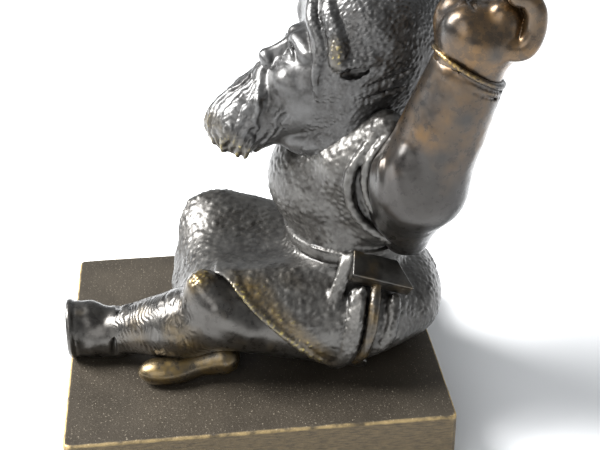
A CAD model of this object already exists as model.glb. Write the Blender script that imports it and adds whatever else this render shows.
"""Looks for the seated bronze figure: each casting is modelled as clay on a distance field.

Lengths inside the clay are millimetres in the CAD frame. A place on the figure is given
from the middle of the slab's top face, which the CAD frame sets.
"""
import math

import bpy
import numpy as np
import openvdb
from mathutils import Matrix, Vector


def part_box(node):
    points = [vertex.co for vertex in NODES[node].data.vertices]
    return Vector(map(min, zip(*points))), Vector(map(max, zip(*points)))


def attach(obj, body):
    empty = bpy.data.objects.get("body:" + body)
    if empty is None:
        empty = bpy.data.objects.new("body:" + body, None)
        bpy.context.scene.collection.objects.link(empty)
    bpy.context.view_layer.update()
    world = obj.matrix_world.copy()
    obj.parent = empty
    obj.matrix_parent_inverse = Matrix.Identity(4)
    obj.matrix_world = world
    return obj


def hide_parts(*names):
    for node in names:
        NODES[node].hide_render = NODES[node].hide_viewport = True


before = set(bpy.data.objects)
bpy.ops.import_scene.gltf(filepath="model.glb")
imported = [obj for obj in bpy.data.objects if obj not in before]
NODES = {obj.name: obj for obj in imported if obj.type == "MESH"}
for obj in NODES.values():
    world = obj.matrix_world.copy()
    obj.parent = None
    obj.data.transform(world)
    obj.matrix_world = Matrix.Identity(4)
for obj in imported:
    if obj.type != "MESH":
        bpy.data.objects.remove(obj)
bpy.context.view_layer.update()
MM = 0.001
X, Y, Z = np.eye(3)

SLAB_LOW, SLAB_HIGH = (np.array(corner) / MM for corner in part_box("base_slab"))
SEAT = np.array([(SLAB_LOW[0] + SLAB_HIGH[0]) / 2, (SLAB_LOW[1] + SLAB_HIGH[1]) / 2, SLAB_HIGH[2]])
BODY_CELL = 0.265
HEAD_CELL = 0.19
ARM_CELL = 0.22
HAND_CELL = 0.15
LEG_CELL = 0.2
TOOL_CELL = 0.1
SLAB_CELL = 0.28
EMPTY = 4.0


# ---------------------------------------------------------------- clay
class Shape:
    """A distance function with the box outside which it doesn't matter."""

    def __init__(self, low, high, distance):
        self.low = np.asarray(low, float)
        self.high = np.asarray(high, float)
        self.distance = distance


def at(x, y, z):
    """A place on the figure, from the middle of the slab's top face."""
    return SEAT + np.array([x, y, z], float)


def egg(centre, radii, axes=None):
    """An ellipsoid; axes are its three unit directions, one per row."""
    turn = np.eye(3) if axes is None else np.asarray(axes, float)
    reach = np.abs(turn.T * np.asarray(radii)).sum(axis=1)

    def distance(x, y, z):
        dx, dy, dz = x - centre[0], y - centre[1], z - centre[2]
        ratio = slope = 0.0
        for axis, radius in zip(turn, radii):
            along = dx * axis[0] + dy * axis[1] + dz * axis[2]
            ratio = ratio + (along / radius) ** 2
            slope = slope + (along / radius ** 2) ** 2
        ratio = np.sqrt(ratio)
        return ratio * (ratio - 1.0) / np.sqrt(slope + 1e-9)

    return Shape(centre - reach, centre + reach, distance)


def limb(start, end, start_r, end_r=None):
    """A round-ended limb whose radius changes evenly from start to end."""
    end_r = start_r if end_r is None else end_r
    step = end - start
    length2 = float(step @ step) + 1e-9

    def distance(x, y, z):
        dx, dy, dz = x - start[0], y - start[1], z - start[2]
        t = np.clip((dx * step[0] + dy * step[1] + dz * step[2]) / length2, 0.0, 1.0)
        gap = (dx - t * step[0]) ** 2 + (dy - t * step[1]) ** 2 + (dz - t * step[2]) ** 2
        return np.sqrt(gap) - (start_r + t * (end_r - start_r))

    low = np.minimum(start - start_r, end - end_r)
    high = np.maximum(start + start_r, end + end_r)
    return Shape(low, high, distance)


def block(centre, half, axes=None, edge=0.0):
    """A box with rounded edges; axes are its three unit directions, one per row."""
    turn = np.eye(3) if axes is None else np.asarray(axes, float)
    half = np.asarray(half, float)
    reach = np.abs(turn.T * half).sum(axis=1)

    def distance(x, y, z):
        dx, dy, dz = x - centre[0], y - centre[1], z - centre[2]
        outside = 0.0
        inside = -EMPTY
        for axis, size in zip(turn, half):
            over = np.abs(dx * axis[0] + dy * axis[1] + dz * axis[2]) - (size - edge)
            outside = outside + np.maximum(over, 0.0) ** 2
            inside = np.maximum(inside, over)
        return np.sqrt(outside) + np.minimum(inside, 0.0) - edge

    return Shape(centre - reach, centre + reach, distance)


def half_space(point, normal):
    """Everything on the far side of a plane from its normal."""
    normal = np.asarray(normal, float) / np.linalg.norm(normal)

    def distance(x, y, z):
        return (x - point[0]) * normal[0] + (y - point[1]) * normal[1] + (z - point[2]) * normal[2]

    return Shape([-1e3] * 3, [1e3] * 3, distance)


def spline(points, steps):
    """Points along a smooth curve through the given ones."""
    points = np.asarray(points, float)
    padded = np.vstack([2 * points[0] - points[1], points, 2 * points[-1] - points[-2]])
    out = []
    for i in range(len(points) - 1):
        a, b, c, d = padded[i:i + 4]
        for t in np.arange(steps) / steps:
            out.append(0.5 * (2 * b + (c - a) * t + (2 * a - 5 * b + 4 * c - d) * t ** 2
                              + (3 * b - a - 3 * c + d) * t ** 3))
    return np.array(out + [points[-1]])


def smooth_least(first, second, blend):
    """The smaller of two fields, rounded where they meet."""
    part = np.clip(0.5 + 0.5 * (first - second) / blend, 0.0, 1.0)
    return first + (second - first) * part - blend * part * (1.0 - part)


class Clay:
    """A block of space in which shapes are joined and carved.

    The field holds each grid point's distance from the skin, negative inside.
    """

    def __init__(self, low, high, cell):
        margin = 4 * cell
        self.cell = cell
        self.low = np.asarray(low, float) - margin
        self.count = np.ceil((np.asarray(high) + margin - self.low) / cell).astype(int) + 1
        self.field = np.full(self.count, EMPTY, np.float32)

    def window(self, shape, margin):
        """The part of the block that the shape can reach, and its coordinates."""
        first = np.floor((shape.low - margin - self.low) / self.cell).astype(int)
        last = np.ceil((shape.high + margin - self.low) / self.cell).astype(int) + 1
        first = np.clip(first, 0, self.count)
        last = np.clip(last, 0, self.count)
        where = tuple(slice(a, b) for a, b in zip(first, last))
        x, y, z = (self.low[k] + self.cell * np.arange(first[k], last[k]) for k in range(3))
        return where, x[:, None, None], y[None, :, None], z[None, None, :]

    def mix(self, shape, blend, sign_old, sign_new):
        """Smoothly combines the clay and the shape, each with its own sign."""
        where, x, y, z = self.window(shape, blend + 3 * self.cell)
        old = sign_old * self.field[where]
        if old.size == 0:
            return
        new = sign_new * shape.distance(x, y, z)
        self.field[where] = (sign_old * smooth_least(old, new, blend)).astype(np.float32)

    def join(self, shape, blend=0.3):
        self.mix(shape, blend, 1, 1)

    def carve(self, shape, blend=0.2):
        self.mix(shape, blend, -1, 1)

    def keep(self, shape, blend=0.1):
        self.mix(shape, blend, -1, -1)

    def rope(self, points, start_r, end_r, blend=0.2, carve=False, steps=4, middle_r=None):
        """Joins or carves a strand along a smooth curve through the points."""
        path = spline(points, steps)
        share = np.linspace(0.0, 1.0, len(path))
        if middle_r is None:
            radii = start_r + (end_r - start_r) * share
        else:
            radii = np.interp(share, [0.0, 0.5, 1.0], [start_r, middle_r, end_r])
        act = self.carve if carve else self.join
        for a, b, ra, rb in zip(path[:-1], path[1:], radii[:-1], radii[1:]):
            act(limb(a, b, ra, rb), blend)

    def band(self, surface, level, region, blend=0.1):
        """Raises the clay to a level above surface inside a region; both are whole fields."""
        raised = np.maximum(surface - level, region)
        self.field = smooth_least(self.field, raised, blend).astype(np.float32)

    def groove(self, surface, depth, region, blend=0.08):
        """Cuts a channel of a depth below surface inside a region."""
        cut = np.maximum(np.abs(surface) - depth, region)
        self.field = -smooth_least(-self.field, cut, blend)

    def join_clay(self, other, blend):
        """Joins another clay that fills the same block."""
        self.field = smooth_least(self.field, other.field, blend)

    def flatten(self):
        """Cuts the clay off level with the slab's top."""
        self.keep(half_space(SEAT, -Z), 0.15)

    def axes(self):
        x, y, z = (self.low[k] + self.cell * np.arange(self.count[k]) for k in range(3))
        return x[:, None, None], y[None, :, None], z[None, None, :]

    def surface(self):
        """The clay's skin: points in mm, quads facing out and the points' normals."""
        grid = openvdb.FloatGrid(EMPTY)
        grid.copyFromArray(np.ascontiguousarray(self.field))
        grid.transform = openvdb.createLinearTransform(self.cell)
        points, quads = grid.convertToQuads(isovalue=0.0)
        points, quads = points.astype(float) + self.low, quads.astype(np.int64)
        return points, quads, vertex_normals(points, quads)


# ---------------------------------------------------------------- noise
CELL_PRIMES = (73856093, 19349663, 83492791)
MIX_PRIMES = (2246822519, 3266489917)
WORD = 0xFFFFFFFF
FRACTION = 0x1000000


def random_at(i, j, k, seed):
    """A steady random number from 0 to 1 for each whole-number cell."""
    n = (i * CELL_PRIMES[0]) ^ (j * CELL_PRIMES[1]) ^ (k * CELL_PRIMES[2]) ^ (seed * 40503 + 12345)
    n &= WORD
    n = ((n ^ (n >> 15)) * MIX_PRIMES[0]) & WORD
    n = ((n ^ (n >> 13)) * MIX_PRIMES[1]) & WORD
    return ((n ^ (n >> 16)) & (FRACTION - 1)) / float(FRACTION)


def smooth_noise(points, size, seed):
    """Soft noise from -1 to 1 whose lumps are about size mm across."""
    p = points / size
    base = np.floor(p).astype(np.int64)
    f = p - base
    f = f * f * (3 - 2 * f)
    total = 0.0
    for corner in range(8):
        bits = np.array([corner & 1, corner >> 1 & 1, corner >> 2 & 1])
        weight = np.prod(np.where(bits, f, 1 - f), axis=1)
        cell = base + bits
        total = total + weight * random_at(cell[:, 0], cell[:, 1], cell[:, 2], seed)
    return 2 * total - 1


def layered_noise(points, size, seed, layers=3):
    total = 0.0
    for i in range(layers):
        total = total + smooth_noise(points, size / 2 ** i, seed + i) / 2 ** i
    return total / (2 - 2 ** (1 - layers))


def pebbles(points, size, seed):
    """Rounded lumps about size mm across: 0 in the gaps between them, 0.5 on top."""
    p = points / size
    base = np.floor(p).astype(np.int64)
    near = np.full(len(p), 9.0)
    second = np.full(len(p), 9.0)
    for di in (-1, 0, 1):
        for dj in (-1, 0, 1):
            for dk in (-1, 0, 1):
                i, j, k = (base + (di, dj, dk)).T
                spot = np.stack([i + random_at(i, j, k, seed), j + random_at(i, j, k, seed + 1),
                                 k + random_at(i, j, k, seed + 2)], axis=1)
                gap = np.linalg.norm(spot - p, axis=1)
                second = np.minimum(second, np.maximum(gap, near))
                near = np.minimum(near, gap)
    return np.clip(second - near, 0, 0.5)


# ---------------------------------------------------------------- skin
def vertex_normals(points, quads):
    a, b, c, d = (points[quads[:, k]] for k in range(4))
    face = np.cross(c - a, d - b)
    out = np.zeros_like(points)
    for axis in range(3):
        for corner in range(4):
            out[:, axis] += np.bincount(quads[:, corner], face[:, axis], len(points))
    return out / (np.linalg.norm(out, axis=1, keepdims=True) + 1e-12)


def edge_pairs(quads):
    pairs = np.vstack([quads[:, [0, 1]], quads[:, [1, 2]], quads[:, [2, 3]], quads[:, [3, 0]]])
    pairs.sort(axis=1)
    return np.unique(pairs, axis=0)


def relaxed(values, pairs, rounds):
    """Values averaged with their neighbours, several times over."""
    count = len(values)
    degree = np.bincount(pairs.ravel(), minlength=count).astype(float)
    values = values.copy()
    for _ in range(rounds):
        mean = np.empty_like(values)
        for axis in range(values.shape[1]):
            column = values[:, axis]
            total = np.bincount(pairs[:, 0], column[pairs[:, 1]], count)
            total += np.bincount(pairs[:, 1], column[pairs[:, 0]], count)
            mean[:, axis] = total / degree
        values += 0.6 * (mean - values)
    return values


def bulge(points, normals, pairs, rounds):
    """How far each point stands proud of its surroundings, in mm."""
    return np.einsum("ij,ij->i", points - relaxed(points, pairs, rounds), normals)


def add_attribute(mesh, name, values):
    layer = mesh.attributes.new(name, "FLOAT", "POINT")
    layer.data.foreach_set("value", values.astype(np.float32))


def piece(name, points, quads, replaces, material, rubbed=None):
    """Makes the mesh object, with the attributes that the bronze reads."""
    mesh = bpy.data.meshes.new(name)
    mesh.vertices.add(len(points))
    mesh.vertices.foreach_set("co", (points * MM).astype(np.float32).ravel())
    mesh.loops.add(quads.size)
    mesh.loops.foreach_set("vertex_index", quads.astype(np.int32).ravel())
    mesh.polygons.add(len(quads))
    mesh.polygons.foreach_set("loop_start", np.arange(0, quads.size, 4, dtype=np.int32))
    mesh.polygons.foreach_set("use_smooth", np.ones(len(quads), bool))
    mesh.update(calc_edges=True)
    normals = vertex_normals(points, quads)
    pairs = edge_pairs(quads)
    add_attribute(mesh, "fine", bulge(points, normals, pairs, 4))
    add_attribute(mesh, "broad", bulge(points, normals, pairs, 40))
    add_attribute(mesh, "rubbed", np.zeros(len(points)) if rubbed is None else rubbed)
    thing = bpy.data.objects.new(name, mesh)
    bpy.context.scene.collection.objects.link(thing)
    mesh.materials.append(material)
    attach(thing, "root")
    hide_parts(*replaces)


def mirrored(points, quads):
    """The same skin on the figure's other side."""
    flipped = points.copy()
    flipped[:, 0] = 2 * SEAT[0] - flipped[:, 0]
    return flipped, quads[:, ::-1]


def near(local, place, reach):
    """1 at a place on the figure, falling to 0 at a distance of reach from it."""
    return np.clip(1 - np.linalg.norm(local - np.array(place), axis=1) / reach, 0, 1)


def clay_for(nodes, cell, spare=0.6):
    """An empty block over the CAD boxes of the nodes that the piece replaces."""
    boxes = [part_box(node) for node in nodes]
    low = np.min([np.array(low) for low, high in boxes], axis=0) / MM - spare
    high = np.max([np.array(high) for low, high in boxes], axis=0) / MM + spare
    return Clay(low, high, cell)


# ---------------------------------------------------------------- body
HIP_NEAR, KNEE_NEAR = at(8.5, 15, 7.0), at(8.5, -3.5, 9.6)
HIP_FAR, KNEE_FAR = at(-8.5, 15, 4.6), at(-9.5, -3.3, 12.0)
HEM_NORMAL = (Y + Z) / math.sqrt(2)
HEM_NEAR = at(0, 0, 12.2)
HEM_FAR = at(0, 0, 5.5)
HEM_LOWER = at(0, 0, 2.4)
BELT_HEIGHT = 17.2
BELT_THICK = 0.55


def tablet(low, high, corner, edge):
    """A flat slab with rounded corners in plan and softened edges."""
    centre, half = (low + high) / 2, (high - low) / 2

    def distance(x, y, z):
        qx = np.abs(x - centre[0]) - half[0] + corner
        qy = np.abs(y - centre[1]) - half[1] + corner
        plan = np.hypot(np.maximum(qx, 0), np.maximum(qy, 0)) + np.minimum(np.maximum(qx, qy), 0) - corner
        plan = plan + edge
        rise = np.abs(z - centre[2]) - half[2] + edge
        outside = np.hypot(np.maximum(plan, 0), np.maximum(rise, 0))
        return outside + np.minimum(np.maximum(plan, rise), 0) - edge

    return Shape(low, high, distance)


def both(*place):
    """The same place on the figure's left and right."""
    x, y, z = place
    return at(x, y, z), at(-x, y, z)


def trunk_clay():
    """Chest, waist, hips and the seat, without belt, skirt or lap."""
    clay = clay_for(["body"], BODY_CELL)
    clay.join(egg(at(0, 13.3, 25.4), (9.6, 8.9, 11.0)), 0.5)
    clay.join(egg(at(0, 14.4, 16.5), (9.9, 8.0, 9.5)), 2.5)
    clay.join(egg(at(0, 10.5, 25.0), (7.5, 7.2, 6.8)), 2.0)
    for low, high in zip(both(7.4, 14.6, 29.5), both(8.4, 17.4, 23.0)):
        clay.join(limb(low, high, 4.5, 3.7), 2.0)
    for low, high in zip(both(6.5, 14.3, 30.5), both(9.8, 17.6, 36.4)):
        clay.join(limb(low, high, 4.8, 2.4), 2.0)
    clay.join(limb(at(0, 13.5, 29), at(0, 14.2, 34.5), 5.0), 1.0)
    clay.join(egg(at(0, 18.9, 6.8), (12.4, 8.6, 7.4)), 2.2)
    clay.join(egg(at(0, 21.0, 6.8), (10.8, 6.5, 5.6)), 1.5)
    clay.join(limb(at(-4.5, 15.5, 1.0), at(4.5, 15.5, 1.0), 6.5), 2.0)
    return clay


def lap_shape():
    """The tunic stretched between the knees, sagging in the middle, with its front hem."""
    def distance(x, y, z):
        x, y, z = x - SEAT[0], y - SEAT[1], z - SEAT[2]
        share = np.clip((x + 9.5) / 17.5, 0.0, 1.0)
        sag = 4 * share * (1 - share)
        far_top = 17.4 - 0.02 * np.maximum(y + 4, 0) ** 2 - 0.08 * np.maximum(y + 4, 0)
        top = far_top * (1 - share) + 15.3 * share - 1.3 * sag
        fall = np.clip(-(y + 5.0 - 0.9 * share) / 5.6, 0.0, 1.3)
        top = top - (3.6 + 0.8 * sag) * fall ** 2.2
        top = top + 1.1 * np.clip((y - 2.0) / 4.0, 0.0, 1.0) * sag
        under = np.minimum(top - 2.6, 12.5)
        front = -10.9 + 0.03 * (x - 0.5) ** 2 + 0.12 * np.sin(1.9 * x)
        inside = np.maximum(z - top, under - z) * 0.75
        inside = np.maximum(inside, front - y)
        inside = np.maximum(inside, y - 11.0)
        return np.maximum(inside, np.abs(x + 0.8) - 9.2)

    return Shape(at(-11, -12, 5), at(9.5, 12, 20), distance)


def skirt(hip, knee, hip_r, knee_r, hem, edge=None):
    """The tunic over one thigh, with a rolled hem; edge ends it above the slab as well."""
    cloth = clay_for(["body"], BODY_CELL)
    cloth.join(limb(hip, knee, hip_r, knee_r), 0.3)
    past_hem = half_space(hem, -HEM_NORMAL).distance(*cloth.axes())
    if edge is not None:
        lower = half_space(edge, (0, 0, -1)).distance(*cloth.axes())
        gap = np.abs(past_hem - lower)
        past_hem = np.maximum(past_hem, lower) + np.clip(2.5 - gap, 0, None) ** 2 / 10
    cloth.band(cloth.field, 0.28, np.abs(past_hem + 0.5) - 0.4, 0.3)
    cloth.field = np.maximum(cloth.field, past_hem).astype(np.float32)
    return cloth


def add_belt(clay, trunk):
    """The belt round the waist, with a scored line along each edge."""
    x, _, z = (axis - origin for axis, origin in zip(clay.axes(), SEAT))
    belt = z - BELT_HEIGHT + 0.15 * np.sin(0.35 * x)
    clay.band(trunk, BELT_THICK, np.abs(belt) - 1.1, 0.25)
    for edge in (-0.75, 0.75):
        clay.groove(trunk - BELT_THICK, 0.2, np.abs(belt - edge) - 0.14, 0.12)


def add_hip_details(clay):
    """The belt's end and the strap beside the hammer, a fold behind it, and creases at the back."""
    ridges = (
        (((10.4, 13.4, 18.0), (11.4, 12.6, 16.0), (12.5, 11.4, 13.6), (13.4, 10.4, 11.4)), 0.45, 0.3, 0.6),
        (((10.2, 12.5, 17.6), (11.2, 11.7, 15.8), (12.3, 10.6, 13.6), (13.2, 9.7, 11.6)), 0.45, 0.3, 0.6),
        (((12.8, 14.5, 14.2), (14.9, 13.8, 11.4), (15.9, 13.0, 8.0), (15.2, 11.9, 4.2), (13.8, 11.2, 2.4)),
         0.6, 0.5, 0.6),
        (((12.6, 13.5, 14.0), (14.7, 12.9, 11.2), (15.7, 12.1, 8.0), (15.0, 11.2, 4.4), (13.6, 10.5, 2.6)),
         0.5, 0.4, 0.6),
        (((12.8, 18.9, 12.6), (14.8, 18.1, 9.6), (15.4, 16.9, 6.2), (14.2, 15.2, 2.8)), 0.7, 0.6, 0.8),
    )
    creases = (
        (((9.0, 24.6, 14.0), (9.4, 26.2, 11.0), (7.6, 27.0, 7.5)), 0.3, 0.2, 0.9),
        (((0.0, 26.6, 13.0), (0.5, 27.6, 8.5), (0.2, 26.6, 3.5)), 0.5, 0.4, 0.9),
        (((14.4, 17.2, 13.0), (15.9, 16.4, 9.4), (15.9, 15.3, 6.0), (14.6, 14.0, 3.0)), 0.4, 0.25, 0.4),
    )
    for lines, carve in ((ridges, False), (creases, True)):
        for line, start_r, end_r, blend in lines:
            clay.rope([at(*place) for place in line], start_r, end_r, blend, carve)


def add_armholes(clay):
    """Two rolled seams round each armhole."""
    seam = ((11.3, 15.6, 35.4), (12.0, 13.0, 32.0), (11.9, 12.6, 28.6), (12.2, 13.6, 25.4),
            (12.4, 16.2, 22.6), (11.4, 20.4, 19.8))
    for side in (-1, 1):
        for back, size in ((0.0, 0.5), (2.0, 0.42)):
            line = [at(side * (x + 0.4 * back), y + back, z + 0.6 * back) for x, y, z in seam]
            clay.rope(line, size, 0.8 * size, 0.7)


def tunic_skin(points, normals):
    """The points moved to make the tunic's pebbled cloth, and where its hem is rubbed."""
    local = points - SEAT
    lumps = 2 * pebbles(points, 0.95, 11) - 0.5
    swell = layered_noise(points, 3.0, 5)
    height = local[:, 2]
    on_belt = (np.abs(height - BELT_HEIGHT) < 1.2) & (local[:, 1] > 4) & (local[:, 1] < 24)
    cloth = np.clip(height / 1.5, 0.2, 1) * np.where(on_belt, 0.3, 1)
    points = points + normals * (0.17 * lumps * cloth * (0.75 + 0.4 * swell) + 0.07 * swell)[:, None]
    from_hem = (local - (HEM_NEAR - SEAT)) @ HEM_NORMAL
    hem = np.clip(1 - np.abs(from_hem - 1.6) / 2.4, 0, 1)
    hem *= np.clip((local[:, 0] - 8) / 3, 0, 1) * np.clip((11 - local[:, 1]) / 3, 0, 1)
    rubbed = 0.35 * np.clip(layered_noise(points, 5.0, 21) + 0.1, 0, 1) + 0.9 * hem
    return points, np.clip(rubbed, 0, 1)


def make_body(material):
    clay = trunk_clay()
    trunk = clay.field.copy()
    clay.join_clay(skirt(HIP_NEAR, KNEE_NEAR, 7.4, 5.9, HEM_NEAR, HEM_LOWER), 1.6)
    clay.join_clay(skirt(HIP_FAR, KNEE_FAR, 6.8, 5.7, HEM_FAR), 1.6)
    clay.join(lap_shape(), 2.6)
    add_belt(clay, trunk)
    add_hip_details(clay)
    add_armholes(clay)
    # The hips are undercut towards the slab.
    for side in (-1, 1):
        clay.keep(half_space(at(side * 13, 15.7, 3.3), (side * 0.6, 0.32, -0.74)), 1.2)
    clay.flatten()
    points, quads, normals = clay.surface()
    points, rubbed = tunic_skin(points, normals)
    piece("body_casting", points, quads, ["body"], material, rubbed)


# ---------------------------------------------------------------- legs
def make_left_leg(material):
    """The near leg: thigh, knee, ribbed stocking and a boot standing on its heel."""
    clay = clay_for(["left_leg"], LEG_CELL, 2.5)
    clay.join(limb(HIP_NEAR, KNEE_NEAR, 6.9, 5.4), 0.3)
    clay.join(limb(at(8.6, -5.2, 9.5), at(5.6, -13.2, 5.8), 4.9, 4.0), 1.2)
    clay.join(limb(at(5.6, -13.2, 5.8), at(3.2, -18.4, 3.9), 4.0, 3.4), 0.8)
    clay.join(egg(at(7.4, -9.4, 6.6), (4.3, 5.2, 4.3)), 2.0)
    clay.join(egg(at(9.2, -6.5, 13.7), (2.6, 2.6, 2.7)), 1.5)
    clay.join(limb(at(2.9, -19.6, 3.5), at(2.4, -22.4, 3.5), 3.6, 3.5), 1.0)
    clay.join(limb(at(2.4, -22.2, 3.5), at(2.4, -22.8, 5.6), 3.4, 2.7), 1.0)
    clay.join(egg(at(2.4, -24.6, 4.2), (3.7, 1.2, 4.0)), 1.0)
    turns = np.radians(range(0, 361, 30))
    rim = [at(2.4 + 3.5 * math.sin(turn), -25.4, 4.3 - 3.8 * math.cos(turn)) for turn in turns]
    clay.rope(rim, 0.42, 0.42, 0.35)
    clay.rope([at(6.4, -19.6, 1.6), at(6.5, -19.3, 4.0), at(5.2, -18.7, 6.2), at(3.0, -18.5, 7.4),
               at(0.8, -18.7, 6.4)], 0.12, 0.12, 0.6, carve=True)
    clay.join(limb(at(12.2, -4.8, 12.6), at(13.2, -0.6, 9.4), 1.2, 0.8), 2.2)
    clay.keep(half_space(HEM_NEAR + HEM_NORMAL * 4.5, HEM_NORMAL), 0.1)
    clay.flatten()
    points, quads, normals = clay.surface()
    local = points - SEAT
    along = (local - np.array([8.6, -5.2, 9.5])) @ np.array([-0.34, -0.86, -0.38])
    stocking = np.clip(along - 0.5, 0, 1) * np.clip(14.4 - along, 0, 1)
    stocking *= np.clip((local[:, 2] - 3.5 + 0.25 * along) / 3, 0.15, 1)
    wobble = 0.9 * smooth_noise(points, 1.3, 8)
    ribs = np.sin(2 * math.pi * (along + wobble) / 0.62) * (0.5 + 0.6 * smooth_noise(points, 0.7, 9))
    swell = layered_noise(points, 3.0, 6)
    knee = near(local, (9.6, -6.8, 15.6), 2.6)
    lumps = pebbles(points, 0.7, 15) * knee
    points = points + normals * (0.075 * ribs * stocking + 0.07 * swell + 0.5 * lumps)[:, None]
    patch = near(local, (11.0, -9.0, 8.0), 4.0)
    rubbed = np.clip(0.1 + 0.7 * layered_noise(points, 4.0, 22) + 0.9 * patch + 0.9 * knee, 0, 1)
    piece("left_leg_casting", points, quads, ["left_leg"], material, rubbed)


def make_right_leg(material):
    """The far leg's shin, and its foot folded under the near calf."""
    clay = clay_for(["right_leg"], LEG_CELL)
    clay.join(limb(at(-9.3, -3.4, 10.0), at(0.0, -5.0, 5.0), 4.5, 3.2), 0.5)
    clay.join(limb(at(0.0, -5.0, 5.0), at(6.0, -4.9, 2.9), 3.2, 2.3), 0.8)
    clay.join(limb(at(6.0, -4.9, 2.9), at(10.2, -4.2, 2.9), 2.3, 2.1), 0.8)
    clay.join(limb(at(10.0, -4.6, 2.8), at(10.2, -10.0, 1.9), 2.1, 1.8), 1.0)
    clay.join(egg(at(10.7, -12.4, 1.8), (2.2, 3.8, 1.9)), 1.4)
    clay.flatten()
    points, quads, normals = clay.surface()
    swell = layered_noise(points, 2.5, 7)
    points = points + normals * (0.08 * swell)[:, None]
    rubbed = np.clip(0.9 + 0.6 * layered_noise(points, 3.0, 23), 0, 1)
    piece("right_leg_casting", points, quads, ["right_leg"], material, rubbed)


# ---------------------------------------------------------------- arms and hands
ELBOW, WRIST = at(14.8, 21.0, 31.0), at(17.0, 25.7, 46.2)
CUFF = at(17.0, 26.0, 47.8)
CUFF_NORMAL = np.array([0.0, 0.49, 0.87])
CUFF_NORMAL /= np.linalg.norm(CUFF_NORMAL)
FINGERS = 4
FINGER_STEP = 2.25


def make_arm_mesh():
    """The left sleeve, bent at the elbow, with a hemmed cuff."""
    clay = clay_for(["left_arm"], ARM_CELL)
    clay.join(limb(at(11.6, 19.9, 26.2), ELBOW, 4.6, 5.7), 0.5)
    clay.join(limb(ELBOW, WRIST, 5.85, 4.65), 2.0)
    clay.join(limb(at(9.8, 20.8, 21.0), at(11.8, 20.8, 25.6), 3.3, 4.5), 1.5)
    side = np.cross(CUFF_NORMAL, X)
    for drop, size, carve in ((0.35, 0.3, False), (0.95, 0.13, True), (1.9, 0.13, True)):
        middle = CUFF - CUFF_NORMAL * drop
        reach = 4.62 + 0.09 * drop
        ring = [middle + reach * (math.cos(turn) * X + 1.03 * math.sin(turn) * side)
                for turn in np.linspace(0, 2 * math.pi, 25)]
        clay.rope(ring, size, size, 0.25, carve, steps=2)
    clay.join(egg(at(18.2, 18.6, 34.2), (1.4, 1.4, 3.0)), 1.8)
    folds = (
        [at(18.6, 17.6, 35.4), at(19.6, 18.0, 32.4), at(19.2, 19.2, 29.2)],
        [at(16.2, 16.0, 35.0), at(17.4, 16.1, 32.0), at(17.2, 17.4, 28.4)],
        [at(14.2, 15.8, 34.0), at(15.2, 15.4, 31.2), at(15.4, 16.4, 27.6)],
    )
    for line in folds:
        clay.rope(line, 0.12, 0.1, 1.0)
    clay.keep(half_space(CUFF, CUFF_NORMAL), 0.2)
    clay.carve(limb(at(17.0, 25.4, 45.8), at(17.1, 27.0, 51.0), 4.1, 4.3), 0.25)
    points, quads, normals = clay.surface()
    swell = layered_noise(points, 4.0, 31)
    fine = layered_noise(points, 1.2, 35)
    points = points + normals * (0.12 * swell + 0.03 * fine)[:, None]
    return points, quads


def make_hand_mesh():
    """The left hand, bent back with curled fingers."""
    clay = clay_for(["left_hand"], HAND_CELL)
    clay.join(limb(at(16.9, 25.3, 45.4), at(17.0, 26.6, 50.0), 4.1, 4.5), 0.4)
    clay.join(egg(at(17.0, 27.2, 51.0), (4.8, 5.3, 3.7)), 1.2)
    clay.join(egg(at(18.6, 25.0, 52.0), (2.7, 3.1, 3.4)), 1.0)
    clay.join(egg(at(15.0, 25.0, 52.4), (2.7, 3.1, 3.3)), 1.0)
    clay.join(egg(at(15.6, 29.0, 53.4), (3.0, 3.0, 3.4)), 0.8)
    clay.join(egg(at(18.8, 28.9, 52.8), (2.3, 2.5, 3.2)), 0.8)
    clay.rope([at(13.9, 25.2, 53.6), at(13.2, 24.9, 55.4), at(13.9, 26.0, 56.9)], 1.6, 1.15, 0.5)
    for i in range(FINGERS):
        x = 13.8 + FINGER_STEP * i
        lift = (0.0, 0.3, 0.1, -0.6)[i]
        pull = (0.5, 0.35, 0.2, 0.0)[i]
        clay.rope([at(17 + 0.8 * (x - 17), 28.0, 50.8), at(x, 30.9, 50.6), at(x + 0.1, 32.1 - pull, 52.4),
                   at(x + 0.1, 32.2 - pull, 55.0 + 0.5 * lift), at(x, 31.2 - pull, 56.9 + lift),
                   at(x, 29.8 - pull, 57.2 + lift)], 1.5, 0.95, 0.3, steps=7, middle_r=1.2)
    for i in range(FINGERS - 1):
        x = 14.95 + FINGER_STEP * i
        clay.rope([at(x, 30.6, 49.4), at(x, 32.4, 51.0), at(x, 33.4, 53.6)], 0.12, 0.18, 0.3,
                  carve=True, steps=8)
    clay.rope([at(14.2, 27.0, 54.9), at(17.0, 25.6, 55.3), at(19.6, 25.4, 55.2)], 0.2, 0.2, 0.5, carve=True)
    points, quads, normals = clay.surface()
    swell = layered_noise(points, 2.2, 33)
    points = points + normals * (0.07 * swell)[:, None]
    return points, quads


def make_arms(sleeve, skin):
    """Both sleeves and hands; the right ones mirror the left."""
    arm = make_arm_mesh()
    hand = make_hand_mesh()
    for side, flip in (("left", False), ("right", True)):
        for part, (points, quads), slot, material, seed in (
                ("arm", arm, "bronze_sleeve", sleeve, 41), ("hand", hand, "bronze_skin", skin, 43)):
            if flip:
                points, quads = mirrored(points, quads)
            rubbed = np.clip(0.35 + 1.1 * layered_noise(points, 5.0, seed + flip), 0, 1)
            rubbed *= np.clip(((points - SEAT)[:, 2] - 28.0) / 12.0, 0.25, 1)
            piece("%s_%s_casting" % (side, part), points, quads, ["%s_%s" % (side, part)],
                  material, rubbed)


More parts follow.
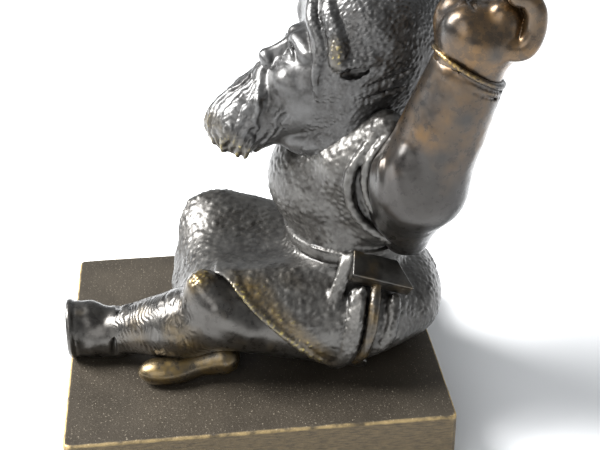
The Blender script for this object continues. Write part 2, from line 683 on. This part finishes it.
# ---------------------------------------------------------------- head
HEAD_LEAN = math.radians(38)
OUT = np.array([0, -math.cos(HEAD_LEAN), math.sin(HEAD_LEAN)])
UP = np.array([0, math.sin(HEAD_LEAN), math.cos(HEAD_LEAN)])
HEAD = at(0, 13.1, 39.0)
HEAD_AXES = (X, OUT, UP)
STRANDS = 62
LEANING = np.array([[1, 0, 0], [0, 0.87, -0.5], [0, 0.5, 0.87]])


def on_head(side, out, up):
    """A place in the head's own frame: to the figure's left, out of the face, up."""
    return HEAD + side * X + out * OUT + up * UP


def model_face(clay):
    """A calm, plain face, laid out in the head's own frame."""
    clay.join(egg(HEAD, (8.4, 9.0, 9.8), HEAD_AXES), 0.5)
    clay.join(egg(on_head(0, 3.2, -3.6), (6.6, 6.0, 7.2), HEAD_AXES), 1.5)
    for side in (-1, 1):
        clay.join(limb(on_head(side * 1.3, 8.6, 1.6), on_head(side * 4.6, 7.2, 1.5), 0.85, 0.7), 1.2)
        clay.carve(egg(on_head(side * 2.6, 9.3, -0.4), (1.8, 1.1, 1.15), HEAD_AXES), 0.9)
        clay.join(egg(on_head(side * 2.6, 7.7, -0.4), (1.4, 1.15, 1.05), HEAD_AXES), 0.15)
        clay.rope([on_head(side * 1.3, 8.4, -0.45), on_head(side * 2.0, 8.8, 0.25),
                   on_head(side * 3.2, 8.6, 0.3), on_head(side * 4.1, 7.8, -0.35)], 0.22, 0.22, 0.15)
        clay.rope([on_head(side * 1.3, 8.35, -0.6), on_head(side * 2.4, 8.7, -1.05),
                   on_head(side * 4.0, 7.75, -0.55)], 0.18, 0.18, 0.2)
        clay.join(egg(on_head(side * 3.7, 6.9, -2.9), (2.3, 1.9, 1.9), HEAD_AXES), 1.3)
        clay.join(egg(on_head(side * 0.95, 9.5, -3.1), (0.7, 0.85, 0.65), HEAD_AXES), 0.35)
    clay.join(limb(on_head(0, 8.6, 0.6), on_head(0, 9.9, -2.6), 0.7, 0.95), 0.9)
    clay.join(egg(on_head(0, 10.1, -2.9), (1.0, 0.95, 0.9), HEAD_AXES), 0.6)
    clay.rope([on_head(-1.7, 8.9, -5.7), on_head(-0.6, 9.4, -5.5), on_head(0.6, 9.4, -5.5),
               on_head(1.7, 8.9, -5.7)], 0.4, 0.4, 0.3)
    clay.rope([on_head(-1.4, 8.9, -6.5), on_head(0, 9.4, -6.6), on_head(1.4, 8.9, -6.5)], 0.5, 0.5, 0.3)


def model_beard(clay):
    """The beard's bulk, the moustache and a row of short tufts along its lower edge."""
    clay.join(limb(on_head(0, 5.2, -7.8), on_head(0, 7.2, -12.2), 5.0, 4.3), 1.2)
    clay.join(limb(on_head(0, 8.4, -9.0), on_head(0, 8.6, -13.2), 2.6, 2.9), 1.4)
    for side in (-1, 1):
        clay.join(limb(on_head(side * 0.8, 9.3, -4.7), on_head(side * 3.8, 8.3, -7.2), 0.95, 0.9), 0.6)
        clay.join(limb(on_head(side * 2.4, 7.6, -8.6), on_head(side * 2.8, 7.4, -12.4), 2.4, 2.5), 1.2)
    for row, (count, low, back) in enumerate(((15, -16.0, 0.0), (13, -14.8, 0.5))):
        for i in range(count):
            a = -1 + (2 * i + 1) / count
            turn = a * math.radians(84)
            across, ahead = math.sin(turn), math.cos(turn)
            sway = 0.25 * math.sin(2.4 * i + 1.7 * row)
            root = on_head((5.2 - back) * across, 5.2 + (5.6 + back) * ahead, low + 3.2 + 1.6 * a * a)
            bend = on_head((5.1 - back) * across + sway, 5.0 + (5.4 + back) * ahead, low + 1.6 + 1.6 * a * a)
            tip = on_head((4.5 - back) * across + sway, 4.6 + (4.6 + back) * ahead, low + 1.8 * a * a)
            clay.rope([root, bend, tip], 0.34, 0.42, 0.3, middle_r=0.52)


def comb(points):
    """Furrows of a combed beard and moustache, in mm, with where they apply."""
    local = points - HEAD
    side, out, up = (local @ axis for axis in HEAD_AXES)
    where = np.clip((-5.4 - up) / 0.8, 0, 1) * np.clip((out - 2.2 - 0.25 * (up + 12)) / 1.5, 0, 1)
    turn = np.arctan2(side, np.maximum(out - 3.5, 0.3))
    drift = 0.16 * smooth_noise(points, 2.6, 57) + 0.05 * smooth_noise(points, 0.9, 58)
    phase = STRANDS * (turn + drift + 0.03 * (up + 9)) / 2
    strand = np.sin(phase) * (0.65 + 0.5 * smooth_noise(points, 1.6, 59))
    wave = np.sin(0.5 * phase + 1.3) * 0.5
    return (strand + wave) * where, where


def brim_path(back, reach):
    """A line over the crown, at a distance back and reaching so many degrees down each side."""
    size = math.sqrt(1 - ((back - 14.2) / 9.2) ** 2)
    return [at((9.5 * size - 0.1) * math.sin(turn), back + 0.35 * math.sin(7 * turn),
               42.6 + (10.6 * size - 0.1) * math.cos(turn))
            for turn in np.radians(np.linspace(-reach, reach, 25))]


def model_cap(clay):
    """A soft cap: crown, peak, neck cape, slit and creases at the sides, and two brim rolls."""
    cap = clay_for(["head"], HEAD_CELL)
    cap.join(egg(at(0, 14.2, 42.6), (9.5, 9.2, 10.6)), 0.5)
    cap.join(egg(at(0, 18.4, 44.0), (9.1, 8.5, 11.0)), 2.0)
    cap.join(egg(at(0, 17.6, 47.0), (9.0, 9.0, 9.0)), 2.0)
    cap.join(limb(at(0, 18.0, 48.0), at(0, 22.8, 53.0), 8.3, 4.0), 2.0)
    cap.keep(half_space(at(0, 8.7, 43.0), (0, -1, 0)), 0.8)
    cap.join(egg(at(0, 14.5, 34.4), (8.8, 8.2, 5.4)), 1.8)
    cap.join(egg(at(0, 11.4, 33.0), (7.6, 7.4, 4.3)), 1.4)
    cap.join(egg(at(0, 13.6, 38.0), (8.9, 5.2, 5.0)), 1.2)
    for side in (-1, 1):
        cap.rope([at(side * 9.3, 11.7, 43.5), at(side * 9.3, 13.6, 43.9), at(side * 9.1, 15.8, 44.3)],
                 0.25, 0.12, 0.25, carve=True, steps=8, middle_r=0.8)
        cap.join(limb(at(side * 9.3, 12.0, 44.9), at(side * 9.4, 16.0, 45.5), 0.6, 0.4), 0.9)
        creases = (
            ((9.6, 14.8, 41.8), (9.4, 17.8, 42.9), (8.8, 20.6, 43.8)),
            ((9.2, 15.0, 40.2), (9.1, 17.6, 41.0), (8.6, 20.0, 41.4)),
        )
        for crease in creases:
            cap.rope([at(side * x, y, z) for x, y, z in crease], 0.03, 0.05, 0.5, carve=True)
    clay.join_clay(cap, 0.25)
    inner = brim_path(9.2, 112)
    clay.rope(inner, 0.12, 0.12, 0.8, steps=2, middle_r=0.75)
    outer = brim_path(11.4, 76)
    clay.rope(outer, 0.8, 0.8, 0.8, steps=2)
    for end in (outer[1], outer[-2]):
        clay.join(egg(end, (0.9, 0.9, 1.5)), 0.8)


def head_skin(points, normals):
    """The points moved to make cloth and combed hair, and where cap and beard are rubbed."""
    local = points - SEAT
    cloth = np.clip((local[:, 1] - 8.2 + 0.2 * np.clip(40 - local[:, 2], 0, 9)) / 1.0, 0.16, 1)
    low = np.clip((43.5 - local[:, 2]) / 1.5, 0, 1) * np.clip((16.0 - local[:, 1]) / 2.0, 0, 1)
    cloth *= 1 - 0.1 * low
    furrow, hairy = comb(points)
    cloth += (0.5 - cloth) * hairy
    leaning = points @ LEANING * (1, 0.7, 1)
    lumps = 2 * pebbles(leaning, 0.56, 51) - 0.5
    swell = layered_noise(points, 2.6, 53)
    points = points + normals * (0.14 * lumps * cloth + 0.04 * swell + 0.17 * furrow)[:, None]
    beard_end = np.clip((-11.8 - (points - HEAD) @ UP) / 1.5, 0, 1)
    from_brim = (np.abs(local) - np.array([9.2, 11.2, 46.4])) / np.array([3, 1, 2.4])
    brim_end = np.clip(1.3 - np.linalg.norm(from_brim, axis=1), 0, 1)
    worn = np.maximum(0.6 * beard_end, 0.8 * brim_end)
    return points, 0.25 * np.clip(layered_noise(points, 3.0, 55), 0, 1) + worn


def make_head(material):
    clay = clay_for(["head"], HEAD_CELL)
    model_face(clay)
    model_cap(clay)
    model_beard(clay)
    points, quads, normals = clay.surface()
    points, rubbed = head_skin(points, normals)
    piece("head_casting", points, quads, ["head"], material, rubbed)


# ---------------------------------------------------------------- hammer
def make_hammer(material):
    """The hammer's head, slanted at one end, and its handle curving down over the hip."""
    pitch, roll = math.radians(19.5), math.radians(30)
    along = np.array([0, math.cos(pitch), -math.sin(pitch)])
    lift = np.array([0, math.sin(pitch), math.cos(pitch)])
    outward = math.cos(roll) * lift + math.sin(roll) * X
    across = np.cross(outward, along)
    face = at(11.6, 17.6, 16.5)
    clay = clay_for(["hammer_head"], TOOL_CELL, 2.5)
    clay.join(block(face - outward * 1.1, (4.4, 1.9, 1.1), (along, across, outward), 0.15), 0.05)
    slant = 2.5 * across + 3.8 * along
    clay.keep(half_space(face + along * 3.15, slant), 0.15)
    points, quads, normals = clay.surface()
    dents = layered_noise(points, 1.2, 61)
    points = points + normals * (0.05 * dents)[:, None]
    rubbed = np.clip(0.1 + layered_noise(points, 2.0, 62), 0, 1)
    piece("hammer_head_casting", points, quads, ["hammer_head"], material, rubbed)

    clay = clay_for(["hammer_handle"], TOOL_CELL, 2.5)
    clay.rope([at(12.4, 16.4, 14.4), at(14.7, 15.8, 12.2), at(16.0, 15.1, 9.0), at(15.8, 14.3, 6.2),
               at(14.2, 13.4, 3.9)], 0.75, 0.66, 0.1, steps=6)
    points, quads, normals = clay.surface()
    grain = smooth_noise(points * (1, 1, 0.25), 0.5, 64)
    points = points + normals * (0.06 * grain)[:, None]
    rubbed = np.clip(0.7 + layered_noise(points, 2.0, 65), 0, 1)
    piece("hammer_handle_casting", points, quads, ["hammer_handle"], material, rubbed)


# ---------------------------------------------------------------- materials
BUMP_HEIGHT = 0.12 * MM


def new_material(name):
    material = bpy.data.materials.new(name)
    material.use_nodes = True
    tree = material.node_tree
    return material, tree, tree.nodes["Principled BSDF"]


def link(tree, source, target):
    tree.links.new(source, target)


def node(tree, kind, **settings):
    item = tree.nodes.new(kind)
    for name, value in settings.items():
        setattr(item, name, value)
    return item


def noise(tree, scale, detail=4.0, roughness=0.55, stretch=None):
    """Noise at a scale in lumps per metre, in object space."""
    place = node(tree, "ShaderNodeTexCoord")
    source = place.outputs["Object"]
    if stretch:
        mapping = node(tree, "ShaderNodeMapping")
        mapping.inputs["Scale"].default_value = stretch
        link(tree, source, mapping.inputs["Vector"])
        source = mapping.outputs["Vector"]
    texture = node(tree, "ShaderNodeTexNoise")
    texture.inputs["Scale"].default_value = scale
    texture.inputs["Detail"].default_value = detail
    texture.inputs["Roughness"].default_value = roughness
    link(tree, source, texture.inputs["Vector"])
    return texture.outputs["Fac"]


def scaled(tree, source, low, high, out_low=0.0, out_high=1.0):
    """Maps low..high to out_low..out_high, clamped."""
    item = node(tree, "ShaderNodeMapRange")
    item.inputs["From Min"].default_value = low
    item.inputs["From Max"].default_value = high
    item.inputs["To Min"].default_value = out_low
    item.inputs["To Max"].default_value = out_high
    link(tree, source, item.inputs["Value"])
    return item.outputs["Result"]


def combine(tree, operation, first, second):
    item = node(tree, "ShaderNodeMath", operation=operation)
    for socket, value in zip(item.inputs, (first, second)):
        if isinstance(value, (int, float)):
            socket.default_value = value
        else:
            link(tree, value, socket)
    return item.outputs["Value"]


def blend_colour(tree, factor, first, second):
    item = node(tree, "ShaderNodeMix", data_type="RGBA")
    link(tree, factor, item.inputs["Factor"])
    for socket, value in ((item.inputs[6], first), (item.inputs[7], second)):
        if isinstance(value, tuple):
            socket.default_value = value + (1.0,)
        else:
            link(tree, value, socket)
    return item.outputs[2]


def attribute(tree, name):
    item = node(tree, "ShaderNodeAttribute", attribute_name=name)
    return item.outputs["Fac"]


def bronze(name, dark, warm, gold, grey, rub=0.5, gloss=0.32, grain=0.25):
    """Patinated bronze: dark in the hollows, warm where rubbed, golden on the crests."""
    material, tree, shader = new_material(name)
    fine = attribute(tree, "fine")
    broad = attribute(tree, "broad")
    rubbed = attribute(tree, "rubbed")
    cloud = noise(tree, 260.0, 5.0)
    speck = noise(tree, 2600.0, 3.0, 0.6)
    mist = noise(tree, 900.0, 4.0)

    light = tuple(0.5 * (a + b) for a, b in zip(dark, grey))
    base = blend_colour(tree, scaled(tree, cloud, 0.38, 0.62), dark, light)
    dusty = combine(tree, "MULTIPLY", scaled(tree, broad, -0.3, 0.3), scaled(tree, mist, 0.35, 0.6))
    base = blend_colour(tree, combine(tree, "MULTIPLY", dusty, 0.7), base, grey)
    worn = combine(tree, "MULTIPLY", scaled(tree, rubbed, 0.15, 0.95), scaled(tree, mist, 0.2, 0.6))
    base = blend_colour(tree, combine(tree, "MULTIPLY", worn, rub), base, warm)
    crest = combine(tree, "MULTIPLY", scaled(tree, fine, 0.025, 0.09), scaled(tree, rubbed, 0.3, 0.8))
    crest = combine(tree, "MULTIPLY", crest, scaled(tree, speck, 0.42, 0.58))
    colour = blend_colour(tree, crest, base, gold)
    sunk = scaled(tree, fine, -0.015, -0.08, 0.0, 0.8)
    colour = blend_colour(tree, sunk, colour, tuple(0.3 * c for c in dark))
    link(tree, colour, shader.inputs["Base Color"])

    shader.inputs["Metallic"].default_value = 0.85
    rough = scaled(tree, mist, 0.3, 0.7, gloss, gloss + 0.2)
    link(tree, rough, shader.inputs["Roughness"])
    shader.inputs["Coat Weight"].default_value = 0.6
    shader.inputs["Coat Roughness"].default_value = 0.3

    bump = node(tree, "ShaderNodeBump")
    bump.inputs["Strength"].default_value = grain
    bump.inputs["Distance"].default_value = BUMP_HEIGHT
    link(tree, combine(tree, "ADD", speck, mist), bump.inputs["Height"])
    link(tree, bump.outputs["Normal"], shader.inputs["Normal"])
    return material


def slab_bronze():
    """The slab: fine-grained brown top, with bright edges and brassy brushed sides."""
    material, tree, shader = new_material("slab_bronze")
    place = node(tree, "ShaderNodeTexCoord")
    split = node(tree, "ShaderNodeSeparateXYZ")
    link(tree, place.outputs["Object"], split.inputs["Vector"])
    geometry = node(tree, "ShaderNodeNewGeometry")
    facing = node(tree, "ShaderNodeSeparateXYZ")
    link(tree, geometry.outputs["True Normal"], facing.inputs["Vector"])
    upward = scaled(tree, facing.outputs["Z"], 0.3, 0.9)

    grain = noise(tree, 3200.0, 3.0, 0.7)
    cloud = noise(tree, 90.0, 4.0)
    scratch = noise(tree, 700.0, 5.0, 0.6, (0.12, 1.0, 6.0))
    dark = blend_colour(tree, scaled(tree, cloud, 0.35, 0.65), (0.046, 0.038, 0.028), (0.07, 0.058, 0.043))
    speck = scaled(tree, grain, 0.62, 0.7)
    top = blend_colour(tree, speck, dark, (0.3, 0.26, 0.2))
    side = blend_colour(tree, scaled(tree, scratch, 0.3, 0.7), (0.04, 0.031, 0.019), (0.1, 0.073, 0.038))
    colour = blend_colour(tree, upward, side, top)
    edge = combine(tree, "MULTIPLY", scaled(tree, attribute(tree, "fine"), 0.02, 0.09),
                   scaled(tree, noise(tree, 500.0), 0.3, 0.55))
    colour = blend_colour(tree, edge, colour, (0.62, 0.45, 0.2))
    link(tree, colour, shader.inputs["Base Color"])
    shader.inputs["Metallic"].default_value = 0.6
    link(tree, scaled(tree, grain, 0.3, 0.7, 0.42, 0.62), shader.inputs["Roughness"])
    bump = node(tree, "ShaderNodeBump")
    bump.inputs["Strength"].default_value = 0.35
    bump.inputs["Distance"].default_value = 0.0001
    link(tree, combine(tree, "ADD", grain, scratch), bump.inputs["Height"])
    link(tree, bump.outputs["Normal"], shader.inputs["Normal"])
    return material


def plain_metal(name, colour, rough, scale):
    """A turned or drawn metal with a fine grain."""
    material, tree, shader = new_material(name)
    grain = noise(tree, scale, 4.0, 0.6, (1.0, 1.0, 0.15))
    darker = tuple(0.7 * c for c in colour)
    drawn = blend_colour(tree, scaled(tree, grain, 0.35, 0.65), darker, colour)
    link(tree, drawn, shader.inputs["Base Color"])
    shader.inputs["Metallic"].default_value = 1.0
    link(tree, scaled(tree, grain, 0.3, 0.7, rough, rough + 0.2), shader.inputs["Roughness"])
    return material


def felt_material():
    material, tree, shader = new_material("green_felt")
    fibre = noise(tree, 4000.0, 6.0, 0.75)
    tuft = noise(tree, 900.0, 3.0)
    colour = blend_colour(tree, scaled(tree, fibre, 0.3, 0.7), (0.012, 0.035, 0.02), (0.04, 0.1, 0.055))
    link(tree, colour, shader.inputs["Base Color"])
    shader.inputs["Roughness"].default_value = 0.95
    shader.inputs["Sheen Weight"].default_value = 0.5
    bump = node(tree, "ShaderNodeBump")
    bump.inputs["Strength"].default_value = 0.8
    bump.inputs["Distance"].default_value = 0.0002
    link(tree, combine(tree, "ADD", fibre, tuft), bump.inputs["Height"])
    link(tree, bump.outputs["Normal"], shader.inputs["Normal"])
    return material


def dress_nodes(names, material):
    """Gives CAD nodes that stay a better material."""
    for name in names:
        slots = NODES[name].data.materials
        slots.clear()
        slots.append(material)


# ---------------------------------------------------------------- slab
def make_slab(material):
    """The slab with softened, slightly dented edges."""
    clay = Clay(SLAB_LOW, SLAB_HIGH, SLAB_CELL)
    clay.join(tablet(SLAB_LOW, SLAB_HIGH, 1.0, 0.3), 0.02)
    points, quads, normals = clay.surface()
    dents = layered_noise(points, 2.5, 71)
    points = points + normals * (0.04 * dents - 0.03)[:, None]
    piece("slab_casting", points, quads, ["base_slab"], material)


# ---------------------------------------------------------------- stage, light and camera
def make_stage():
    floor = bpy.data.meshes.new("floor")
    size = 1.5
    corners = [(-size, -size, 0), (size, -size, 0), (size, size, 0), (-size, size, 0)]
    floor.from_pydata(corners, [], [(0, 1, 2, 3)])
    thing = bpy.data.objects.new("floor", floor)
    bpy.context.scene.collection.objects.link(thing)
    material, tree, shader = new_material("pale_floor")
    shader.inputs["Base Color"].default_value = (0.86, 0.87, 0.88, 1)
    shader.inputs["Roughness"].default_value = 0.9
    floor.materials.append(material)


def make_light(name, place, aim, size, power):
    light = bpy.data.lights.new(name, "AREA")
    light.shape = "DISK"
    light.size = size
    light.energy = power
    thing = bpy.data.objects.new(name, light)
    thing.location = place
    direction = Vector(aim) - Vector(place)
    thing.rotation_euler = direction.to_track_quat("-Z", "Y").to_euler()
    bpy.context.scene.collection.objects.link(thing)


def make_lights():
    world = bpy.data.worlds.new("studio")
    world.use_nodes = True
    sky = world.node_tree.nodes["Background"]
    sky.inputs["Color"].default_value = (0.94, 0.97, 1.0, 1)
    sky.inputs["Strength"].default_value = 0.5
    bpy.context.scene.world = world
    sun = bpy.data.lights.new("sun", "SUN")
    sun.energy = 3.6
    sun.angle = math.radians(22)
    thing = bpy.data.objects.new("sun", sun)
    thing.rotation_euler = Vector((0.05, 0.62, -0.78)).to_track_quat("-Z", "Y").to_euler()
    bpy.context.scene.collection.objects.link(thing)
    middle = (0, 0.008, 0.035)
    make_light("window", (-0.1, -0.4, 0.35), middle, 0.3, 7.0)
    make_light("fill", (0.45, -0.25, 0.3), middle, 0.4, 1.4)


def make_camera():
    """The camera's place, aim and lens, from the slab's middle."""
    camera = bpy.data.cameras.new("camera")
    camera.sensor_width = 36.0
    camera.lens = 70.8
    camera.clip_start = 0.01
    thing = bpy.data.objects.new("camera", camera)
    place = at(142.795, -7.04, 100.263) * MM
    right = Vector((0.10792, 0.99410, -0.01092))
    up = Vector((-0.49609, 0.06337, 0.86596))
    back = right.cross(up)
    matrix = Matrix((right, up, back)).transposed().to_4x4()
    matrix.translation = Vector(place)
    thing.matrix_world = matrix
    bpy.context.scene.collection.objects.link(thing)
    bpy.context.scene.camera = thing


def main():
    tunic = bronze("tunic_bronze", dark=(0.016, 0.013, 0.010), warm=(0.1, 0.066, 0.02),
                   gold=(0.45, 0.36, 0.08), grey=(0.112, 0.108, 0.1), rub=0.9, gloss=0.34)
    cap = bronze("cap_bronze", dark=(0.014, 0.012, 0.010), warm=(0.07, 0.05, 0.018),
                 gold=(0.45, 0.36, 0.12), grey=(0.098, 0.097, 0.096), rub=0.6, gloss=0.3)
    sleeve = bronze("sleeve_bronze", dark=(0.012, 0.009, 0.007), warm=(0.105, 0.053, 0.01),
                    gold=(0.4, 0.27, 0.07), grey=(0.036, 0.033, 0.029), rub=0.9, gloss=0.22, grain=0.15)
    skin = bronze("skin_bronze", dark=(0.015, 0.011, 0.008), warm=(0.16, 0.08, 0.015),
                  gold=(0.45, 0.3, 0.08), grey=(0.045, 0.04, 0.033), rub=0.95, gloss=0.18, grain=0.12)
    stocking = bronze("stocking_bronze", dark=(0.016, 0.013, 0.010), warm=(0.11, 0.07, 0.016),
                      gold=(0.45, 0.34, 0.08), grey=(0.086, 0.081, 0.073), rub=0.9, gloss=0.22, grain=0.2)
    tool = bronze("tool_bronze", dark=(0.018, 0.015, 0.012), warm=(0.09, 0.058, 0.018),
                  gold=(0.5, 0.38, 0.12), grey=(0.055, 0.052, 0.046), rub=0.9, gloss=0.28)
    make_body(tunic)
    make_head(cap)
    make_arms(sleeve, skin)
    make_left_leg(stocking)
    make_right_leg(stocking)
    make_hammer(tool)
    make_slab(slab_bronze())
    dress_nodes(["felt_pad"], felt_material())
    dress_nodes(["seat_screws", "seat_washers"], plain_metal("screw_steel", (0.55, 0.55, 0.56), 0.3, 900.0))
    pins = [name for name in NODES if name.endswith("dowel") or name in ("hammer_rivet", "heel_pin")]
    dress_nodes(pins, plain_metal("pin_brass", (0.6, 0.45, 0.2), 0.3, 900.0))
    make_stage()
    make_lights()
    make_camera()


bpy.context.scene.view_settings.view_transform = "Standard"
main()
